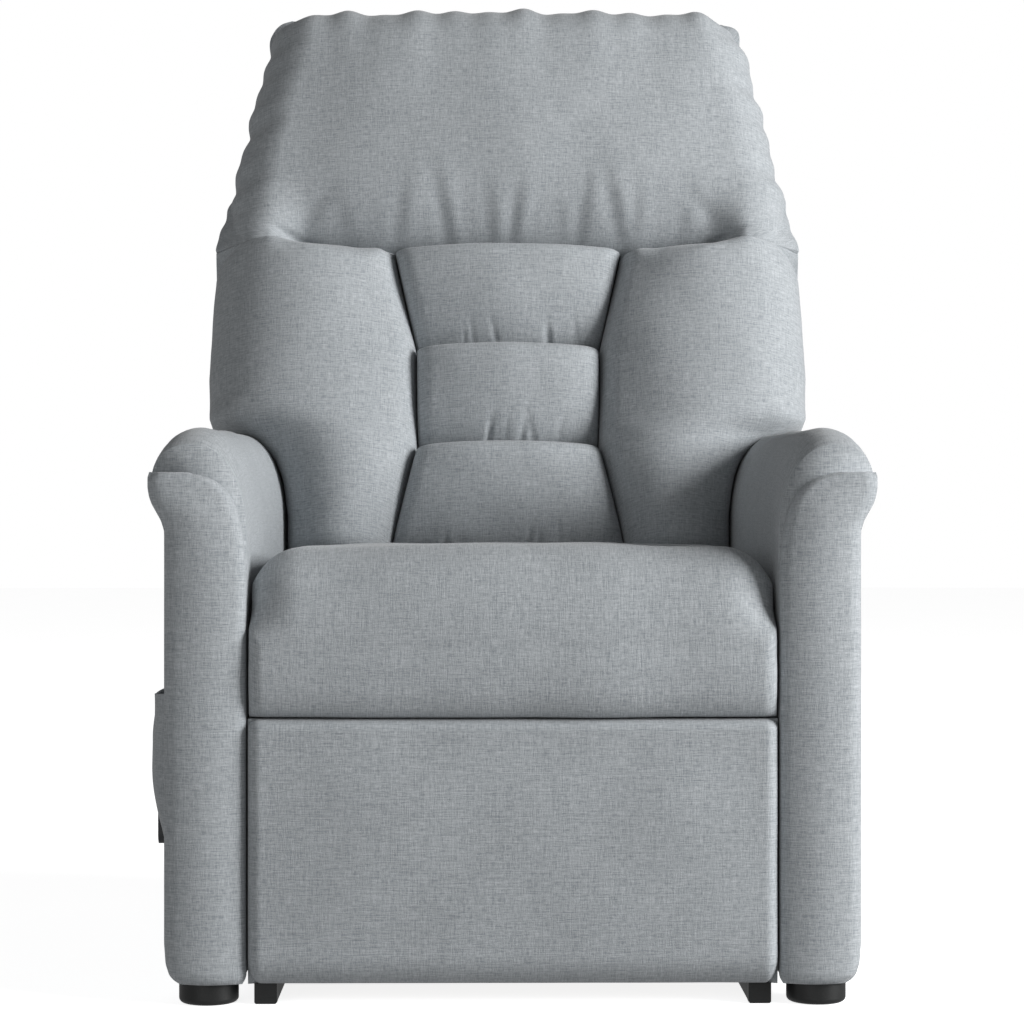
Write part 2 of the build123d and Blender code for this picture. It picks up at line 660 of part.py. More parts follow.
FRAME_PLANE = BACK_PLANE.offset(-BACK_PAD_DEPTH)
COVER_PLANE = FRAME_PLANE.offset(-BACK_FRAME_DEPTH)
with BuildPart() as back_uprights:
    with BuildSketch(FRAME_PLANE):
        with Locations((224, 315)):
            Rectangle(22, 590)
    extrude(amount=-BACK_FRAME_DEPTH)
    mirror(about=Plane.YZ)
keep(back_uprights.part, "back_uprights")

with BuildPart() as back_hinge_plates:
    with BuildSketch(Plane.YZ.offset(LIFT_LINK_X + 1)):
        for centre, radius in ((BACK_HINGE, 14), ((171, 455), 7)):
            with Locations(centre):
                Circle(radius)
        make_hull()
        with Locations(BACK_HINGE):
            Circle(8 + RUNNING, mode=Mode.SUBTRACT)
    extrude(amount=PLATE)
    mirror(about=Plane.YZ)
keep(back_hinge_plates.part, "back_hinge_plates")

with BuildPart() as back_cross_bars:
    with BuildSketch(FRAME_PLANE):
        for bar_height in (42, 320, 588):
            with Locations((0, bar_height)):
                Rectangle(426, 34)
    extrude(amount=-BACK_FRAME_DEPTH)
    # slots for the lever and the hinge plates
    lever_x = BACK_DRIVE_X - YOKE_THICK / 2 - LEVER_GAP - 2.5
    with Locations((lever_x, 170, 440)):
        Box(5, 60, 60, mode=Mode.SUBTRACT)
    add(back_hinge_plates.part, mode=Mode.SUBTRACT)
keep(back_cross_bars.part, "back_cross_bars")

# dished rear cover: a panel with a rim that reaches forwards to the cushions
COVER_RIM = 14
with BuildPart() as back_cover:
    for plane, depth, rim in ((COVER_PLANE, BACK_COVER_DEPTH, 0), (FRAME_PLANE, BACK_FRAME_DEPTH, COVER_RIM)):
        with BuildSketch(plane):
            with BuildLine():
                Polyline(
                    (ARM_CLEAR, COVER_BOTTOM), (ARM_CLEAR, 110), (340, 150), (344, 210), (340, 300),
                    (325, 410), (306, 520), (288, 610), (281, 636), (258, 656), (-258, 656),
                    (-281, 636), (-288, 610), (-306, 520), (-325, 410), (-340, 300), (-344, 210),
                    (-340, 150), (-ARM_CLEAR, 110), (-ARM_CLEAR, COVER_BOTTOM), close=True,
                )
            outline = make_face()
            if rim:
                offset(outline, amount=-rim, mode=Mode.SUBTRACT)
                # the rim is open along the bottom
                with Locations((0, COVER_BOTTOM)):
                    Rectangle(2 * (ARM_CLEAR - rim), 4 * rim, mode=Mode.SUBTRACT)
        extrude(amount=-depth)
    for side in (-1, 1):
        with Locations((side * (ARM_CLEAR + 60), 150, WING_CLEAR_Z - 100)):
            Box(120, 400, 200, mode=Mode.SUBTRACT)
    # notch for the lever
    with Locations((lever_x, 165, 400)):
        Box(7, 30, 60, mode=Mode.SUBTRACT)
keep(back_cover.part, "back_cover")
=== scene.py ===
import json
import math

import bmesh
import bpy
import numpy as np
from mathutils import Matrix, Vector


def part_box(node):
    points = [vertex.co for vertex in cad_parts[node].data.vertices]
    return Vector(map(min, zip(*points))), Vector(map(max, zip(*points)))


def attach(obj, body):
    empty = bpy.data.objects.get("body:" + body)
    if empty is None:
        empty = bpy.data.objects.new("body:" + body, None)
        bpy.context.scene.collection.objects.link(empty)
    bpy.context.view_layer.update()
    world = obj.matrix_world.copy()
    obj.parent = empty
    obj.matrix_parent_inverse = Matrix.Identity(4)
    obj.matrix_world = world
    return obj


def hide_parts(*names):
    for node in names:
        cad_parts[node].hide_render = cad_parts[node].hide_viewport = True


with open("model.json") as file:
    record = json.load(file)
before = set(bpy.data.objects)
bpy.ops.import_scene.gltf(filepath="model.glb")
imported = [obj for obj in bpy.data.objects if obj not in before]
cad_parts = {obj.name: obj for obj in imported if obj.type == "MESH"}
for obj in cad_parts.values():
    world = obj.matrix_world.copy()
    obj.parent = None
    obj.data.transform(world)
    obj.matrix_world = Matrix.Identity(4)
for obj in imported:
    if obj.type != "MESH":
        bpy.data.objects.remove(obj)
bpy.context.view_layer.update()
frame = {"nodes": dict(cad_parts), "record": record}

# ------------------------------------------------------------------ numbers, in millimetres
# places on the back are x across it, s up along it from (BACK_Y, BACK_Z) and h out of its front
LEAN = math.radians(15)
BACK_Y, BACK_Z = 45, 440
FOLD = 369
BACK_TOP = 672
BACK_FOOT, LOWER_SEAM, UPPER_SEAM = -8, 126, 246
PAD_DEPTH = 110
ARM_CLEAR = 254
# shares of a pad's depth where its side walls have a row of points
WALL_ROWS = (0.25, 0.6, 1.0)
MM = 0.001


def box(node):
    low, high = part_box(node)
    return np.array(low) / MM, np.array(high) / MM


seat_low, seat_high = box("seat_cushion")
leg_low, leg_high = box("leg_rest_pad")
arm_low, arm_high = box("arm_body_right")
front_low = box("arm_front_right")[0]


# ------------------------------------------------------------------ curves and surfaces
def smooth(start, end, x):
    t = np.clip((x - start) / (end - start), 0, 1)
    return t * t * (3 - 2 * t)


def spaced(count, crowd=0.6):
    """Numbers from 0 to 1 that stand closer together near both ends."""
    t = np.linspace(0, 1, count)
    return crowd * (1 - np.cos(np.pi * t)) / 2 + (1 - crowd) * t


def curve(points, soft=8):
    """A function through points (place, value), its corners rounded over soft."""
    places, values = np.array(points, float).T
    dense = np.linspace(places[0] - 3 * soft, places[-1] + 3 * soft, 1200)
    ends = (dense, np.interp(dense, places, values))
    step = dense[1] - dense[0]
    reach = max(1, int(soft / step))
    kernel = np.hanning(2 * reach + 3)
    kernel /= kernel.sum()
    padded = np.pad(ends[1], reach + 1, mode="edge")
    table = np.convolve(padded, kernel, mode="valid")
    return lambda x: np.interp(x, dense, table)


def roll(*edges):
    """Drop of a stuffed surface towards its edges, from (distance, radius, depth) of each."""
    squares = 0
    depth = 0
    for distance, radius, down in edges:
        t = np.clip(1 - distance / radius, 0, 1) ** 2
        squares = squares + t
        depth = depth + t * down
    return -depth / np.maximum(squares, 1e-9) * (1 - np.sqrt(1 - np.clip(squares, 0, 1)))


def edge_drop(distance, radius, depth):
    """Drop of one rounded edge at a distance from it."""
    return depth * (1 - math.sqrt(max(0, 1 - max(0, 1 - distance / radius) ** 2)))


def crease(x, s, at, turn, long, wide, deep):
    """A soft valley, long along its turn and wide across it."""
    a = math.radians(turn)
    along = (x - at[0]) * math.cos(a) + (s - at[1]) * math.sin(a)
    across = (s - at[1]) * math.cos(a) - (x - at[0]) * math.sin(a)
    return -deep * np.exp(-((along / long) ** 2) - (across / wide) ** 2)


def drape(x, s, seed, size=1.0, wave=(60, 170)):
    """Slow unevenness of stuffing under cloth."""
    rng = np.random.default_rng(seed)
    total = 0
    for _ in range(9):
        length = rng.uniform(*wave)
        a = rng.uniform(0, math.pi)
        phase = rng.uniform(0, 2 * math.pi)
        total = total + np.sin((x * math.cos(a) + s * math.sin(a)) * 2 * math.pi / length + phase)
    return size * total / 3


def ripple(x, seed, length):
    """Uneven waves along an edge, from -1 to 1."""
    rng = np.random.default_rng(seed)
    total = 0
    for k in (1.0, 0.61, 1.47):
        total = total + np.sin(x * 2 * math.pi / (length * k) + rng.uniform(0, 2 * math.pi))
    return total / 2.2


def evened(outline, count, passes):
    """Evenly spaced points round a closed outline, its corners softened by averaging."""
    closed = np.vstack([outline, outline[:1]])
    run = np.append(0, np.cumsum(np.linalg.norm(np.diff(closed, axis=0), axis=1)))
    t = np.linspace(0, run[-1], count, endpoint=False)
    points = np.stack([np.interp(t, run, closed[:, k]) for k in (0, 1)], 1)
    for _ in range(passes):
        points = 0.5 * points + 0.25 * (np.roll(points, 1, 0) + np.roll(points, -1, 0))
    return points


# ------------------------------------------------------------------ meshes
def new_piece(name, verts, faces, uvs, body, material):
    mesh = bpy.data.meshes.new(name)
    mesh.from_pydata((np.asarray(verts) * MM).tolist(), [], [list(map(int, f)) for f in faces])
    layer = mesh.uv_layers.new(name="weave")
    layer.data.foreach_set("uv", (np.concatenate(uvs) * MM).ravel())
    shape = bmesh.new()
    shape.from_mesh(mesh)
    bmesh.ops.recalc_face_normals(shape, faces=shape.faces)
    shape.to_mesh(mesh)
    shape.free()
    mesh.polygons.foreach_set("use_smooth", np.ones(len(mesh.polygons), bool))
    mesh.materials.append(material)
    obj = bpy.data.objects.new(name, mesh)
    bpy.context.collection.objects.link(obj)
    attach(obj, body)
    return obj


def quads(index, uv):
    """Faces of a grid of vertex numbers and the grid's UVs, face by face."""
    corners = [index[:-1, :-1], index[:-1, 1:], index[1:, 1:], index[1:, :-1]]
    marks = [uv[:-1, :-1], uv[:-1, 1:], uv[1:, 1:], uv[1:, :-1]]
    faces = np.stack([c.ravel() for c in corners], 1)
    loops = np.stack([m.reshape(-1, 2) for m in marks], 1).reshape(-1, 2)
    return list(faces), loops


def arc(points, axis):
    """Length along a grid's rows or columns, from its middle."""
    steps = np.linalg.norm(np.diff(points, axis=axis), axis=2)
    first = np.zeros_like(np.take(steps, [0], axis=axis))
    total = np.cumsum(np.concatenate([first, steps], axis=axis), axis=axis)
    middle = np.take(total, [total.shape[axis] // 2], axis=axis)
    return total - middle


def pad(
    name, left, right, low, high, surface, place, depth, body, material, count=(110, 110),
    shift=None, hub=None,
):
    """A stuffed panel between left(s) and right(s) from low to high, its front a height
    surface(x, s, from left, from right), its sides closed back to depth."""
    nv, nu = count
    s = low + (high - low) * spaced(nv)
    s = np.repeat(s[:, None], nu, 1)
    start, end = left(s), right(s)
    x = start + (end - start) * spaced(nu)[None, :]
    h = surface(x, s, x - start, end - x)
    if shift is not None:
        x, s = shift(x, s)
    front = place(x, s, h)
    across = arc(np.stack([x, h], 2), 1) + x[:, nu // 2, None]
    upward = arc(np.stack([s, h], 2), 0) + s[nv // 2]
    uv = np.stack([across, upward], 2)
    index = np.arange(nu * nv).reshape(nv, nu)
    verts = [front.reshape(-1, 3)]
    faces, loops = quads(index, uv)
    uvs = [loops]
    ring = np.concatenate([index[0], index[1:, -1], index[-1, -2::-1], index[-2:0:-1, 0]])
    rx, rs, rh = x.ravel()[ring], s.ravel()[ring], h.ravel()[ring]
    edge = front.reshape(-1, 3)[ring]
    run = np.append(0, np.cumsum(np.linalg.norm(np.diff(edge, axis=0, append=edge[:1]), axis=1)))
    rows = [ring]
    heights = [np.zeros_like(rh)]
    made = nu * nv
    for part in WALL_ROWS:
        level = rh + (-depth - rh) * part
        verts.append(place(rx, rs, level))
        rows.append(made + np.arange(len(ring)))
        heights.append(level - rh)
        made += len(ring)
    wall = np.stack([np.append(r, r[0]) for r in rows])
    wall_uv = np.stack([np.stack([run, np.append(v, v[0])], 1) for v in heights])
    more, loops = quads(wall, wall_uv)
    faces += more
    uvs.append(loops)
    if hub is None:
        hub = (rx.mean(), rs.mean())
    verts.append(place(*np.array([[hub[0]], [hub[1]], [-depth]], float)))
    last = rows[-1]
    faces += [[last[k], last[(k + 1) % len(last)], made] for k in range(len(last))]
    flat = np.stack([rx, rs], 1)
    fan = np.stack([flat, np.roll(flat, -1, 0), np.repeat(np.array([hub], float), len(flat), 0)], 1)
    uvs.append(fan.reshape(-1, 2))
    return new_piece(name, np.concatenate(verts), faces, uvs, body, material)


def loft(name, rings, body, material, hub_place=None):
    """A closed skin over rings of points, with a cap at each end round a point of each ring."""
    n, m, _ = rings.shape
    index = np.arange(n * m).reshape(n, m)
    closed = np.concatenate([rings, rings[:, :1]], 1)
    round_it = arc(closed, 1)
    along = np.repeat(arc(rings, 0).mean(1)[:, None], m + 1, 1)
    faces, loops = quads(np.concatenate([index, index[:, :1]], 1), np.stack([round_it, along], 2))
    verts = [rings.reshape(-1, 3)]
    uvs = [loops]
    for k, end in enumerate((0, n - 1)):
        centre = rings[end].mean(0) if hub_place is None else hub_place(rings[end])
        verts.append(centre[None])
        hub = n * m + k
        a, b = rings[end], np.roll(rings[end], -1, 0)
        faces += [[index[end, j], index[end, (j + 1) % m], hub] for j in range(m)]
        spread = np.ptp(rings[end], axis=0)
        keep = np.argsort(spread)[1:]
        fan = np.stack([a[:, keep], b[:, keep], np.repeat(centre[None, keep], m, 0)], 1)
        uvs.append(fan.reshape(-1, 2))
    return new_piece(name, np.concatenate(verts), faces, uvs, body, material)


# lowest height of the back rest over the arm, by distance from the middle
over_arm = curve([
    (ARM_CLEAR, 298), (257, 464), (261, 497), (266, 516), (272, 532), (280, 547), (292, 559),
    (305, 565), (360, 566),
], 2)


def on_back(x, s, h):
    y = BACK_Y + s * math.sin(LEAN) - h * math.cos(LEAN)
    z = BACK_Z + s * math.cos(LEAN) + h * math.sin(LEAN)
    floor_z = over_arm(np.abs(x))
    z = np.where(z < floor_z, floor_z + 0.1 * (z - floor_z) + 3, z)
    return np.stack([x, y, z], -1)


def on_front(x, s, h):
    return np.stack([x, front_low[1] - h, s], -1)


# ------------------------------------------------------------------ materials
class Graph:
    """Adds nodes to a material, each input a value or another node's output."""

    def __init__(self, name):
        self.material = bpy.data.materials.new(name)
        self.material.use_nodes = True
        self.tree = self.material.node_tree
        self.shader = self.tree.nodes["Principled BSDF"]

    def node(self, kind, inputs=None, **settings):
        made = self.tree.nodes.new(kind)
        for key, value in settings.items():
            setattr(made, key, value)
        for key, value in (inputs or {}).items():
            if isinstance(value, bpy.types.NodeSocket):
                self.tree.links.new(value, made.inputs[key])
            else:
                made.inputs[key].default_value = value
        return made

    def noise(self, vector, stretch, detail=3.0, rough=0.6):
        scaled = self.node("ShaderNodeMapping", {"Vector": vector, "Scale": stretch})
        return self.node(
            "ShaderNodeTexNoise",
            {"Vector": scaled.outputs[0], "Scale": 1.0, "Detail": detail, "Roughness": rough},
        ).outputs["Fac"]

    def math(self, operation, a, b):
        return self.node("ShaderNodeMath", {0: a, 1: b}, operation=operation).outputs[0]

    def ramp(self, value, *stops):
        made = self.node("ShaderNodeValToRGB", {"Fac": value})
        elements = made.color_ramp.elements
        while len(elements) < len(stops):
            elements.new(0.5)
        for element, (place, colour) in zip(elements, stops):
            element.position = place
            element.color = (*colour, 1)
        return made.outputs["Color"]

    def bump(self, height, distance, strength):
        made = self.node(
            "ShaderNodeBump", {"Height": height, "Distance": distance, "Strength": strength}
        )
        self.tree.links.new(made.outputs["Normal"], self.shader.inputs["Normal"])

    def set(self, **values):
        for key, value in values.items():
            socket = self.shader.inputs[key.replace("_", " ")]
            if isinstance(value, bpy.types.NodeSocket):
                self.tree.links.new(value, socket)
            else:
                socket.default_value = value
        return self.material


def linen(name, dark, light):
    """Melange linen-look cloth: uneven warp and weft threads crossing, with slubs."""
    g = Graph(name)
    uv = g.node("ShaderNodeUVMap", uv_map="weave").outputs["UV"]
    warp = g.noise(uv, (1050, 120, 1), 3, 0.65)
    weft = g.noise(uv, (110, 1000, 1), 3, 0.65)
    slub = g.noise(uv, (26, 620, 1), 2, 0.5)
    rise = g.noise(uv, (560, 22, 1), 2, 0.5)
    cloud = g.noise(uv, (16, 16, 1), 2, 0.5)
    crossing = g.math("ADD", g.math("MULTIPLY", warp, 0.32), g.math("MULTIPLY", weft, 0.34))
    streaks = g.math("ADD", g.math("MULTIPLY", slub, 0.17), g.math("MULTIPLY", rise, 0.13))
    tone = g.math("ADD", g.math("ADD", crossing, streaks), g.math("MULTIPLY", cloud, 0.04))
    middle = [(a + b) / 2 for a, b in zip(dark, light)]
    colour = g.ramp(tone, (0.40, dark), (0.50, middle), (0.60, light))
    cells = g.node("ShaderNodeMapping", {"Vector": uv, "Scale": (900, 900, 900)}).outputs[0]
    basket = g.node("ShaderNodeTexVoronoi", {"Vector": cells, "Scale": 1.0, "Randomness": 0.35})
    knots = g.math("MULTIPLY", basket.outputs["Distance"], -0.35)
    g.bump(g.math("ADD", tone, knots), 0.0009, 0.55)
    return g.set(
        Base_Color=colour, Roughness=0.93, Specular_IOR_Level=0.22, Sheen_Weight=0.22,
        Sheen_Roughness=0.45,
    )


def webbing():
    g = Graph("webbing")
    place = g.node("ShaderNodeTexCoord").outputs["Object"]
    ribs = g.noise(place, (900, 260, 900), 2, 0.5)
    cross = g.noise(place, (120, 1500, 1500), 2, 0.5)
    tone = g.math("ADD", g.math("MULTIPLY", ribs, 0.5), g.math("MULTIPLY", cross, 0.5))
    colour = g.ramp(tone, (0.4, (0.008, 0.008, 0.009)), (0.62, (0.035, 0.035, 0.038)))
    g.bump(tone, 0.0008, 0.6)
    return g.set(Base_Color=colour, Roughness=0.85, Specular_IOR_Level=0.3)


def hard(name, dark, light, roughness, metallic, stretch, grain, bump):
    """A hard material with fine uneven colour, roughness and texture."""
    g = Graph(name)
    place = g.node("ShaderNodeTexCoord").outputs["Object"]
    fine = g.noise(place, stretch, 4, 0.6)
    broad = g.noise(place, (9, 9, 9), 3, 0.6)
    tone = g.math("ADD", g.math("MULTIPLY", fine, grain), g.math("MULTIPLY", broad, 1 - grain))
    colour = g.ramp(tone, (0.35, dark), (0.65, light))
    rough = g.math("ADD", g.math("MULTIPLY", tone, 0.25), roughness - 0.12)
    g.bump(fine, bump, 0.5)
    return g.set(Base_Color=colour, Roughness=rough, Metallic=metallic)


def plywood():
    g = Graph("frame_wood")
    place = g.node("ShaderNodeTexCoord").outputs["Object"]
    grain = g.noise(place, (18, 160, 160), 5, 0.7)
    plies = g.noise(place, (3, 3, 260), 1, 0.3)
    tone = g.math("ADD", g.math("MULTIPLY", grain, 0.7), g.math("MULTIPLY", plies, 0.3))
    colour = g.ramp(tone, (0.36, (0.20, 0.12, 0.06)), (0.5, (0.42, 0.28, 0.15)), (0.64, (0.55, 0.40, 0.24)))
    g.bump(grain, 0.0006, 0.4)
    return g.set(Base_Color=colour, Roughness=0.62)


cloth = linen("upholstery", (0.245, 0.268, 0.285), (0.50, 0.525, 0.545))
finishes = {"webbing": webbing(), "frame_wood": plywood()}
# slot, dark and light colour, roughness, metallic, grain's scale, grain's share, bump
for look in (
    ("dark_steel", (0.022, 0.024, 0.026), (0.045, 0.048, 0.05), 0.42, 0.35, (900,) * 3, 0.5, 0.0002),
    ("rod_steel", (0.45, 0.46, 0.47), (0.66, 0.67, 0.68), 0.26, 1.0, (500, 30, 500), 0.6, 0.0001),
    ("motor_plastic", (0.012, 0.012, 0.013), (0.026, 0.026, 0.028), 0.5, 0.0, (1400,) * 3, 0.7, 0.0003),
    ("black_plastic", (0.009, 0.010, 0.010), (0.020, 0.021, 0.021), 0.38, 0.0, (1100,) * 3, 0.6, 0.0002),
    ("handset_plastic", (0.022, 0.024, 0.027), (0.040, 0.043, 0.047), 0.45, 0.0, (1800,) * 3, 0.7, 0.0002),
    ("button_plastic", (0.30, 0.32, 0.34), (0.42, 0.44, 0.46), 0.4, 0.0, (1500,) * 3, 0.6, 0.0001),
):
    finishes[look[0]] = hard(*look)
slot_of = {part["node"]: part["material_slot"] for part in frame["record"]["subparts"]}
for node, obj in frame["nodes"].items():
    if slot_of.get(node) in finishes:
        obj.data.materials.clear()
        obj.data.materials.append(finishes[slot_of[node]])

# ------------------------------------------------------------------ back rest
outer_edge = curve([
    (-20, ARM_CLEAR), (40, 255), (70, 259), (90, 263), (108, 270), (122, 281), (134, 294), (142, 312),
    (150, 334), (157, 347), (166, 352), (216, 354.5), (306, 351.5), (FOLD + 5, 347), (428, 335.5),
    (490, 321.5), (552, 309),
    (615, 294), (640, 289), (652, 287), (661, 283), (667, 275), (BACK_TOP, 262),
], 5)
seam_edge = curve([(BACK_FOOT, 141), (LOWER_SEAM, 107), (UPPER_SEAM, 108), (FOLD, 135)], 5)


def outer_roll(s):
    """Radius of the back's rounded sides, small beside the arms and large above them."""
    return 9 + 49 * smooth(120, 190, s)


def outer_depth(s):
    """Depth of the back's rounded sides."""
    return 9 + 51 * smooth(120, 190, s)


def fold_fade(x):
    """1 across the fold under the headrest, down to 0 at its two ends."""
    return 1 - smooth(236, 284, np.abs(x))


def scallops(s, seed):
    """Waves of the gathered side edges."""
    return ripple(s, seed, 58)


def top_waves(x):
    """Waves of the gathered top edge."""
    return ripple(x, 41, 70)


for side_name, side, seed in (("left", -1, 3), ("right", 1, 8)):

    def side_surface(x, s, inward, outward, seed=seed, side=side):
        across = 2 * inward / np.maximum(inward + outward, 1) - 1
        crown = 44 * (1 - np.abs(across) ** 2) - 21
        corner = 0.35 + 0.65 * smooth(0, 50, inward)
        edges = roll(
            (inward, 24, 36), (outward, outer_roll(s), outer_depth(s)),
            (FOLD - s, 30 * corner, 46 * corner * fold_fade(x)), (s - BACK_FOOT, 20, 18),
        )
        h = crown * (1 - 0.35 * smooth(280, 340, x)) + edges
        h = h + drape(x, s, seed, 1.1, (90, 220)) * (1 - smooth(280, 340, x))
        h = h + crease(x, s, (seam_edge(UPPER_SEAM) + 16, UPPER_SEAM), 8, 34, 8, 2)
        h = h + crease(x, s, (seam_edge(LOWER_SEAM) + 16, LOWER_SEAM), -10, 38, 8, 2)
        h = h - crease(x, s, (243, FOLD - 9), 14, 24, 7, 5)
        h = h + 1.4 * scallops(s, seed) * np.exp(-outward / 16) * smooth(150, 200, s)
        return h

    def side_place(x, s, h, side=side):
        return on_back(side * x, s, h)

    panel = pad(
        f"back_panel_{side_name}", seam_edge, outer_edge, BACK_FOOT, FOLD - 0.5, side_surface, side_place,
        PAD_DEPTH, "backrest", cloth, (130, 110),
    )
    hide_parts(f"back_side_{side_name}")

# three rolls between the side panels, each full at its top and curling under at its foot
for roll_name, low, high, seed in (
    ("top", UPPER_SEAM, FOLD, 21),
    ("middle", LOWER_SEAM, UPPER_SEAM, 22),
    ("bottom", BACK_FOOT, LOWER_SEAM, 23),
):

    def roll_surface(x, s, from_left, from_right, low=low, high=high, seed=seed):
        w = (high - s) / (high - low)
        peak = 0.13
        upper = 16 * (1 - np.sqrt(np.clip(1 - np.clip(1 - w / peak, 0, 1) ** 2, 0, 1)))
        under = np.clip((w - peak) / (1 - peak), 0, 1)
        lower = 30 * under ** 2 + 26 * (1 - np.sqrt(1 - under ** 6))
        across = (from_left - from_right) / np.maximum(from_left + from_right, 1)
        h = 20 * (1 - across ** 2) - 15 - upper - lower
        h = h + roll((from_left, 20, 18), (from_right, 20, 18))
        h = h + drape(x, s, seed, 0.8, (50, 120))
        rng = np.random.default_rng(seed)
        for _ in range(7):
            at = (rng.uniform(-85, 85), low + rng.uniform(4, 16))
            turn = 90 + rng.uniform(-16, 16)
            long, wide, deep = rng.uniform((12, 2.6, 1.2), (26, 4.5, 3.2))
            h = h + crease(x, s, at, turn, long, wide, deep)
        return h

    panel = pad(
        f"back_roll_{roll_name}", lambda s: 1 - seam_edge(s), lambda s: seam_edge(s) - 1,
        low + 0.5, high - 0.5, roll_surface, on_back, PAD_DEPTH, "backrest", cloth, (90, 120),
    )
    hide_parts(f"back_centre_{roll_name}")


LEFT_SEED, RIGHT_SEED = 31, 37


def head_surface(x, s, from_left, from_right):
    """Headrest: full in the middle, curling under at the fold, gathered round its edges."""
    outward = np.minimum(from_left, from_right)
    edges = roll(
        (outward, outer_roll(s), outer_depth(s)), (s - FOLD, 96, 64 * fold_fade(x)),
        (BACK_TOP - s, 46, 48),
    )
    inside = smooth(0, 110, outward)
    half = outer_edge(s)
    fullness = 40 * (1 - 0.85 * (x / half) ** 2) * (1 - 0.8 * ((s - FOLD - 165) / 190) ** 2) - 8
    h = edges + fullness + drape(x, s, 5, 1.8, (80, 200)) * inside
    # gathers along the lower fold: place, lean in degrees, depth, length and width
    for at, lean, deep, long, wide in (
        (-196, 14, 1.0, 26, 12), (-131, -8, 1.8, 38, 11), (-77, 12, 2.2, 48, 9), (-24, 5, 1.6, 34, 9),
        (4, -9, 2.2, 34, 8), (58, 7, 1.0, 24, 12), (84, -8, 2.0, 42, 10), (127, 14, 2.2, 48, 9),
        (146, -6, 1.4, 30, 9), (203, -12, 1.2, 30, 12),
    ):
        h = h + crease(x, s, (at, FOLD + 24), 90 + lean, long, wide, deep)
        h = h - 0.8 * crease(x, s, (at + 15, FOLD + 26), 90 + lean, long * 1.1, wide, deep)
    # pinched tucks at the fold's two ends
    for side in (-1, 1):
        h = h + crease(x, s, (side * 246, FOLD + 9), side * 16, 26, 5, 9)
        h = h + crease(x, s, (side * 232, FOLD + 40), -side * 48, 30, 10, 2)
    # gathers from the side and top edges inwards
    for edge_seed, distance in ((LEFT_SEED, from_left), (RIGHT_SEED, from_right)):
        h = h + 2.4 * scallops(s, edge_seed) * np.exp(-distance / 26) * smooth(FOLD, FOLD + 30, s)
    h = h + 2.6 * top_waves(x) * np.exp(-(BACK_TOP - s) / 34)
    return h


def head_shift(x, s):
    """Moves the headrest's outline in and out with its gathers."""
    near_top = smooth(BACK_TOP - 60, BACK_TOP, s)
    half = np.maximum(outer_edge(s), 1)
    out = smooth(0.72, 1, np.abs(x) / half)
    waves = np.where(x < 0, scallops(s, LEFT_SEED), scallops(s, RIGHT_SEED))
    x = x + np.sign(x) * out * 2.6 * waves * smooth(FOLD, FOLD + 40, s)
    s = s + near_top * (2.4 * top_waves(x) + 5 * smooth(140, 250, np.abs(x)))
    return x, s


head = pad(
    "headrest_pillow", lambda s: -outer_edge(s), outer_edge, FOLD + 0.5, BACK_TOP, head_surface, on_back,
    PAD_DEPTH, "backrest", cloth, (150, 240), head_shift,
)
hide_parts("headrest")

# outer back, which closes the frame behind the cushions
COVER_BACK = 166
COVER_TOP = 658
COVER_FOOT = -20
cover_edge = curve([
    (COVER_FOOT, ARM_CLEAR), (112, ARM_CLEAR), (136, 300), (152, 336), (170, 345), (210, 348), (300, 345),
    (410, 330), (520, 308), (600, 290), (630, 284), (645, 276), (COVER_TOP, 258),
], 6)


def cover_surface(x, s, from_left, from_right):
    outward = np.minimum(from_left, from_right)
    edges = roll((outward, 26, 26), (COVER_TOP - s, 26, 26), (s - COVER_FOOT, 10, 8))
    belly = 6 * smooth(0, 150, outward) * smooth(COVER_FOOT, 100, s) * smooth(COVER_TOP, 560, s)
    return edges + belly + drape(x, s, 51, 0.7, (120, 260))


def cover_place(x, s, h):
    return on_back(x, s, -COVER_BACK - h)


cover = pad(
    "outer_back", lambda s: -cover_edge(s), cover_edge, COVER_FOOT, COVER_TOP, cover_surface, cover_place,
    COVER_BACK - PAD_DEPTH - 1, "backrest", cloth, (150, 130),
)
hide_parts("back_cover")

# ------------------------------------------------------------------ seat
SEAT_HALF = seat_high[0]
NOSE_DEEP = 66
NOSE_HIGH = 96
lip_z = seat_low[2] - 1
top_z = seat_high[2]
front_y = seat_low[1]
LIP_BACK_Y = -404
SEAT_UNDER_Z = 318.3
SEAT_MIDDLE_Z = 380
NOSE_BACK_Y = -380


def seat_profile(count):
    """Outline of the cushion from the back, over the top and down the front, as (y, z)."""
    turn = np.linspace(0, math.pi / 2, 26)
    back_y = seat_high[1]
    over = [(back_y, top_z - 26), (back_y - 8, top_z - 17), (back_y - 60, top_z - 9), (-160, top_z - 1)]
    nose = [
        (front_y + 2 + NOSE_DEEP * (1 - math.sin(a)), top_z - NOSE_HIGH * (1 - math.cos(a)))
        for a in turn
    ]
    lip = [
        (front_y, 325), (front_y + 1.5, 302), (front_y + 5, 291), (front_y + 12, lip_z + 2),
        (front_y + 20, lip_z), (LIP_BACK_Y - 4, lip_z), (LIP_BACK_Y, lip_z + 4),
    ]
    under = [
        (LIP_BACK_Y, SEAT_UNDER_Z), (-200, SEAT_UNDER_Z), (back_y - 6, SEAT_UNDER_Z),
        (back_y, SEAT_UNDER_Z + 6),
    ]
    return evened(np.array(over + nose + lip + under), count, 2)


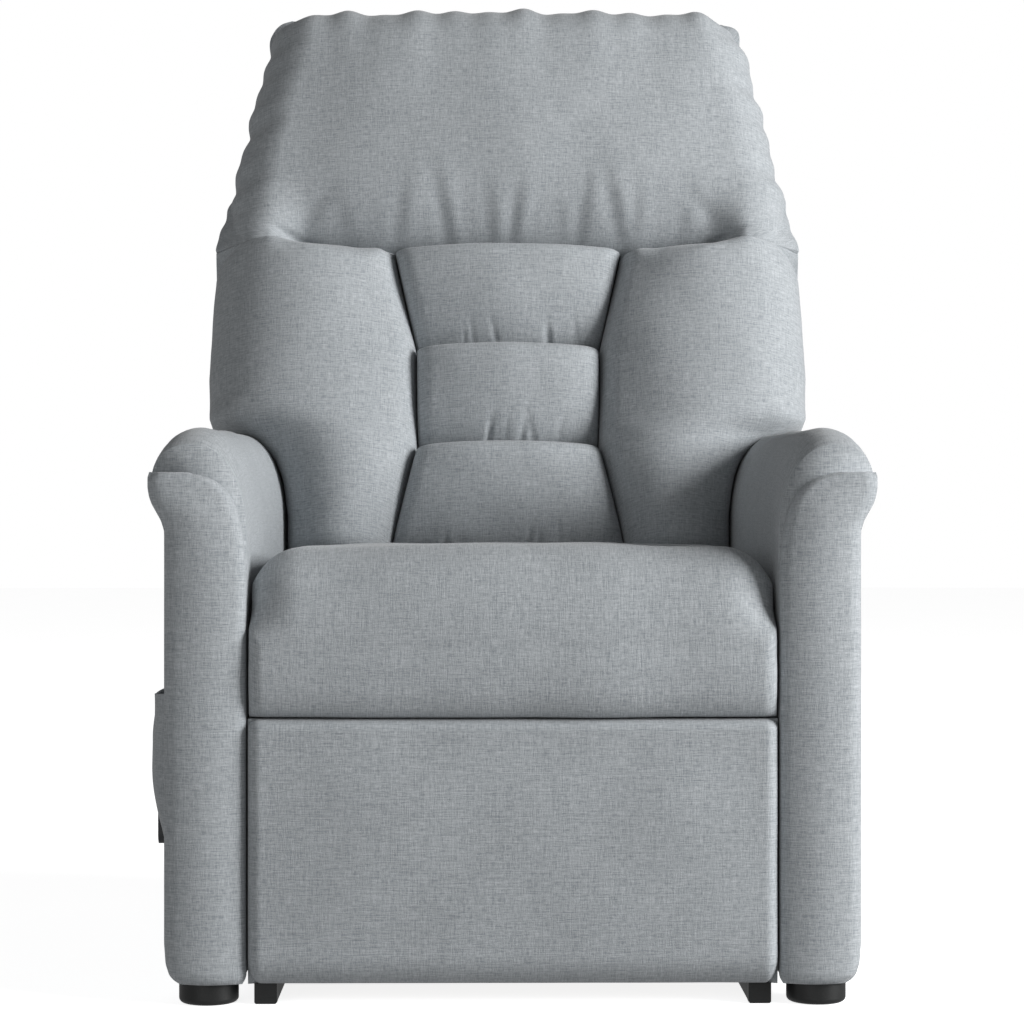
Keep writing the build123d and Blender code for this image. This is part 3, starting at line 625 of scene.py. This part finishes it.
# the profile is swept across the seat, its top and front falling away at both sides
profile = seat_profile(300)
ahead = np.roll(profile, -1, 0) - np.roll(profile, 1, 0)
normal = np.stack([-ahead[:, 1], ahead[:, 0]], 1)
normal /= np.linalg.norm(normal, axis=1)[:, None]
if (normal[:, 1] * (profile[:, 1] - SEAT_MIDDLE_Z)).sum() < 0:
    normal = -normal
up_share = np.clip(normal[:, 1], 0, 1)
front_share = np.clip(-normal[:, 0], 0, 1) * (profile[:, 0] < NOSE_BACK_Y)
rings = []
for t in spaced(150, 0.75):
    x = SEAT_HALF * (2 * t - 1)
    inset = SEAT_HALF - abs(x)
    big = edge_drop(inset, 50, 46)
    small = edge_drop(inset, 15, 13)
    crown = 5 * (1 - (x / SEAT_HALF) ** 2)
    high = smooth(345, 400, profile[:, 1])
    move = -np.maximum(big * np.maximum(up_share, front_share) * high, small * (up_share + front_share))
    move = move + crown * (up_share * 0.8 + front_share * 0.9)
    wobble = drape(np.full(len(profile), x), profile[:, 0] - profile[:, 1], 61, 0.9, (110, 240))
    move = move + wobble * (up_share + front_share) * min(1, inset / 60)
    points = profile + normal * move[:, None]
    rings.append(np.column_stack([np.full(len(points), x), points]))
seat = loft("seat_pad", np.array(rings), "chair", cloth)
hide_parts("seat_cushion")

# ------------------------------------------------------------------ leg rest
LEG_TOP = leg_high[2] + 3.5
LEG_FOOT = leg_low[2] - 2.5


def leg_surface(x, s, from_left, from_right):
    side = np.minimum(from_left, from_right)
    edges = roll((side, 13, 20), (s - LEG_FOOT, 30, 28), (LEG_TOP - s, 10, 18))
    belly = 5 * smooth(0, 120, side) * smooth(LEG_FOOT, LEG_FOOT + 90, s) * smooth(LEG_TOP, LEG_TOP - 90, s)
    return edges + belly + drape(x, s, 71, 0.7, (90, 220))


leg_pad = pad(
    "leg_rest_panel", lambda s: np.full_like(s, leg_low[0]), lambda s: np.full_like(s, leg_high[0]),
    LEG_FOOT, LEG_TOP, leg_surface, on_front, leg_high[1] - leg_low[1] - 0.5, "leg_rest", cloth, (90, 130),
)
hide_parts("leg_rest_pad")

# ------------------------------------------------------------------ arms
FACING_TOP = 515
FACING_FOOT = 20.5
ARM_FRONT = arm_low[1] + 12
ARM_IN, ARM_OUT, ARM_FOOT = 258, 336, 23
panel_in = curve([
    (FACING_FOOT, 262), (23, 259.5), (28, 258), (420, 258), (455, 261.5), (470, 264.5), (484, 269),
    (493, 274), (500, 280), (506, 287), (510, 295), (513, 306), (515, 318),
], 3)
panel_out = curve([
    (FACING_FOOT, 321), (23, 326.5), (29, 332), (40, 335.5), (60, 337), (458, 337), (468, 340),
    (476, 344.5), (484, 349), (491, 351.5), (500, 353), (510, 353), (515, 351),
], 3)
# section of an arm as (x, z), from its outer foot over the top to its inner foot
arm_section = np.array([
    (326, ARM_FOOT), (331, 26), (334.5, 32), (336, 44), (336.5, 60), (336.5, 200), (336.5, 400),
    (336, 450), (337, 466), (341, 477), (346, 488), (349.5, 500), (350, 514), (349, 530), (345, 546),
    (338, 559), (328, 567.5), (316, 571), (305, 571), (292, 565), (280, 552), (272, 537), (266, 520),
    (261, 500), (258.5, 480), (258, 450), (258, 300), (258, 120), (258, ARM_FOOT),
])
# height of an arm's top from its front to its back, as (y, z)
arm_top = curve([
    (-438, 517), (-436.5, 527), (-433, 535), (-427, 542), (-417, 547.5), (-400, 553), (-370, 558),
    (-330, 561), (-150, 564), (100, 567), (150, 567), (190, 566), (214, 561), (230, 545), (237, 525),
    (240, 500),
], 1.5)
SECTION_TOP = 571
SHOULDER = 465


def arm_rings(count):
    """Sections of the right arm from its front to its back, each shaped to the arm's top there."""
    base = evened(arm_section, 260, 4)
    centre_x = (ARM_IN + ARM_OUT) / 2
    made = []
    grain = drape(base[:, 0], base[:, 1], 83, 0.4, (90, 200))
    for y in ARM_FRONT + (arm_high[1] - ARM_FRONT) * spaced(count, 0.85):
        x = base[:, 0]
        shoulder_z = 440 + 60 * smooth(285, 335, x)
        gain = (arm_top(y) - shoulder_z) / (SECTION_TOP - shoulder_z)
        z = np.where(base[:, 1] > shoulder_z, shoulder_z + (base[:, 1] - shoulder_z) * gain, base[:, 1])
        out = np.where(x > centre_x, 1, -1)
        middle = smooth(ARM_FOOT, 90, z) * (1 - smooth(380, 460, z))
        along = smooth(-438, -380, y) * (1 - smooth(190, 240, y))
        x = x + out * 2.0 * middle * along * (x > centre_x)
        front_in = 1.6 * (1 - smooth(-438, -433, y))
        back_in = edge_drop(arm_high[1] - y, 20, 14)
        pull = front_in + back_in
        x = x - out * pull * np.minimum(1, np.abs(x - centre_x) / 30)
        z = z - pull * 0.6 * smooth(430, 520, z)
        wobble = drape(np.full(len(x), y), z + x, 81, 0.8, (120, 260)) * along * (z > 60)
        x = x + out * (wobble * 0.6 + grain * along * (z > 60))
        made.append(np.column_stack([x, np.full(len(x), y), z + wobble * (z > 500)]))
    return np.array(made)


arm = arm_rings(150)


def shoulder(ring):
    """A point in an arm's section from which all of its outline can be seen."""
    low, high = ring.min(0), ring.max(0)
    at = (low + high) / 2
    at[0] = math.copysign(300, at[0])
    at[2] = high[2] - 0.35 * (high[2] - SHOULDER)
    return at


def arm_front_surface(x, s, from_left, from_right):
    across = (from_left - from_right) / np.maximum(from_left + from_right, 1)
    near_top = smooth(FACING_TOP, 470, s)
    crown = 9 * (1 - across ** 2) * (0.25 + 0.75 * near_top) - 9
    edges = roll((from_left, 10, 7), (from_right, 14, 9), (FACING_TOP - s, 10, 6), (s - FACING_FOOT, 14, 9))
    return crown + edges + drape(x, s, 91, 0.35, (80, 160))


for side_name, side in (("left", -1), ("right", 1)):
    mirrored = arm * np.array([side, 1, 1])
    body = loft(f"arm_cover_{side_name}", mirrored, "chair", cloth, shoulder)
    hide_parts(f"arm_body_{side_name}")

    def arm_place(x, s, h, side=side):
        return on_front(side * x, s, h)

    facing = pad(
        f"arm_facing_{side_name}", panel_in, panel_out, FACING_FOOT, FACING_TOP, arm_front_surface, arm_place,
        ARM_FRONT - front_low[1] + 1.2, "chair", cloth, (200, 60), hub=(302, 480),
    )
    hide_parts(f"arm_front_{side_name}")

# ------------------------------------------------------------------ pocket and rear panel
def cloth_strip(name, centre, thick, body, material):
    """Two faces of cloth a thickness apart, joined round the edge, from a grid of points."""
    du = np.gradient(centre, axis=1)
    dv = np.gradient(centre, axis=0)
    out = np.cross(du, dv)
    out /= np.linalg.norm(out, axis=2)[..., None]
    n, m, _ = centre.shape
    uv = np.stack([arc(centre, 1), arc(centre, 0)], 2)
    index = np.arange(n * m).reshape(n, m)
    top, loops = quads(index, uv)
    bottom, loops_below = quads(index + n * m, uv)
    ring = np.concatenate([index[0], index[1:, -1], index[-1, -2::-1], index[-2:0:-1, 0]])
    marks = uv.reshape(-1, 2)
    edge = np.stack([np.append(ring, ring[0]), np.append(ring, ring[0]) + n * m])
    edge_uv = np.stack([marks[np.append(ring, ring[0])]] * 2)
    sides, loops_side = quads(edge, edge_uv)
    verts = np.concatenate([(centre + side * out * thick / 2).reshape(-1, 3) for side in (1, -1)])
    uvs = [loops, loops_below, loops_side]
    return new_piece(name, verts, top + bottom + sides, uvs, body, material)


pocket_low, pocket_high = box("side_pocket")
wall_x = pocket_high[0]
v = spaced(60, 0.5)[:, None]
u = spaced(70, 0.5)[None, :]
pocket_y = pocket_low[1] + (pocket_high[1] - pocket_low[1]) * u + 0 * v
pocket_z = pocket_low[2] + (pocket_high[2] - pocket_low[2]) * v + 0 * u
belly = (np.clip(4 * u * (1 - u), 0, 1) ** 0.4) * (np.clip(1 - (1 - v) ** 6, 0, 1) ** 0.45)
gape = 1 - 0.10 * smooth(0.7, 1, v) - 0.24 * smooth(0.55, 0, v)
stand = (pocket_high[0] - pocket_low[0] - 4) * belly * gape
pocket_x = wall_x - 2.4 - stand + drape(pocket_y, pocket_z, 95, 0.8, (50, 110)) * belly
sag = 4 * smooth(0.6, 1, v) * np.sin(np.pi * u)
pocket_at = np.stack([pocket_x, pocket_y, pocket_z - sag], 2)
pocket = cloth_strip("pocket_cloth", pocket_at, 3.2, "chair", cloth)
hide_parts("side_pocket")

rear_low, rear_high = box("rear_panel")
v = spaced(50, 0.3)[:, None]
u = spaced(90, 0.3)[None, :]
rear_x = rear_low[0] + (rear_high[0] - rear_low[0]) * u + 0 * v
rear_z = rear_low[2] + (rear_high[2] - rear_low[2]) * v + 0 * u
rear_y = (rear_low[1] + rear_high[1]) / 2 + 1.5 * np.sin(np.pi * u) * np.sin(np.pi * v)
rear_y = rear_y + drape(rear_x, rear_z, 97, 0.5, (90, 200))
rear = cloth_strip("rear_cloth", np.stack([rear_x, rear_y, rear_z], 2), 2.6, "chair", cloth)
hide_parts("rear_panel")

# ------------------------------------------------------------------ floor, sky, lights, camera
def floor():
    g = Graph("studio_floor")
    place = g.node("ShaderNodeTexCoord").outputs["Object"]
    speck = g.noise(place, (3, 3, 3), 2, 0.5)
    colour = g.ramp(speck, (0.3, (0.90, 0.90, 0.90)), (0.7, (0.94, 0.94, 0.94)))
    return g.set(
        Base_Color=colour, Roughness=0.9, Emission_Color=(1, 1, 1, 1), Emission_Strength=0.85,
    )


mesh = bpy.data.meshes.new("floor")
FLOOR_HALF = 14
corners = [(x * FLOOR_HALF, y * FLOOR_HALF, 0) for x, y in ((-1, -1), (1, -1), (1, 1), (-1, 1))]
mesh.from_pydata(corners, [], [(0, 1, 2, 3)])
mesh.materials.append(floor())
ground = bpy.data.objects.new("floor", mesh)
ground.location.z = -0.0005
bpy.context.collection.objects.link(ground)
ground.visible_diffuse = False
ground.visible_glossy = False

# the sky is white to the camera and dim to the chair, dimmest overhead
world = bpy.data.worlds.new("studio")
bpy.context.scene.world = world
world.use_nodes = True
sky = world.node_tree.nodes["Background"]
sky.inputs["Color"].default_value = (1, 1, 1, 1)
make, link = world.node_tree.nodes.new, world.node_tree.links.new
rays = make("ShaderNodeLightPath")
way = make("ShaderNodeTexCoord")
up = make("ShaderNodeSeparateXYZ")
shade = make("ShaderNodeMapRange")
dim = make("ShaderNodeMapRange")
for socket, value in (("From Min", -0.6), ("From Max", 0.9), ("To Min", 0.37), ("To Max", 0.08)):
    shade.inputs[socket].default_value = value
dim.inputs["To Max"].default_value = 1.0
link(way.outputs["Generated"], up.inputs[0])
link(up.outputs["Z"], shade.inputs["Value"])
link(shade.outputs["Result"], dim.inputs["To Min"])
link(rays.outputs["Is Camera Ray"], dim.inputs["Value"])
link(dim.outputs["Result"], sky.inputs["Strength"])


def area(name, place, target, width, height, watts):
    light = bpy.data.lights.new(name, "AREA")
    light.shape = "RECTANGLE"
    light.size, light.size_y = width, height
    light.energy = watts
    obj = bpy.data.objects.new(name, light)
    obj.location = place
    obj.rotation_euler = (Vector(target) - Vector(place)).to_track_quat("-Z", "Y").to_euler()
    bpy.context.collection.objects.link(obj)


area("key", (3.85, -1.8, 1.7), (0, 0, 0.5), 2.0, 2.0, 262)
area("fill", (-1.4, -3.6, 0.9), (0, 0, 0.4), 2.4, 2.0, 17)

camera = bpy.data.cameras.new("camera")
camera.lens = 95.2
camera.sensor_width = 36
viewer = bpy.data.objects.new("camera", camera)
viewer.location = (-0.0275, -3.05, 0.4764)
viewer.rotation_euler = (math.radians(90), 0, math.radians(-0.58))
bpy.context.collection.objects.link(viewer)
bpy.context.scene.camera = viewer
bpy.context.scene.view_settings.view_transform = "Standard"
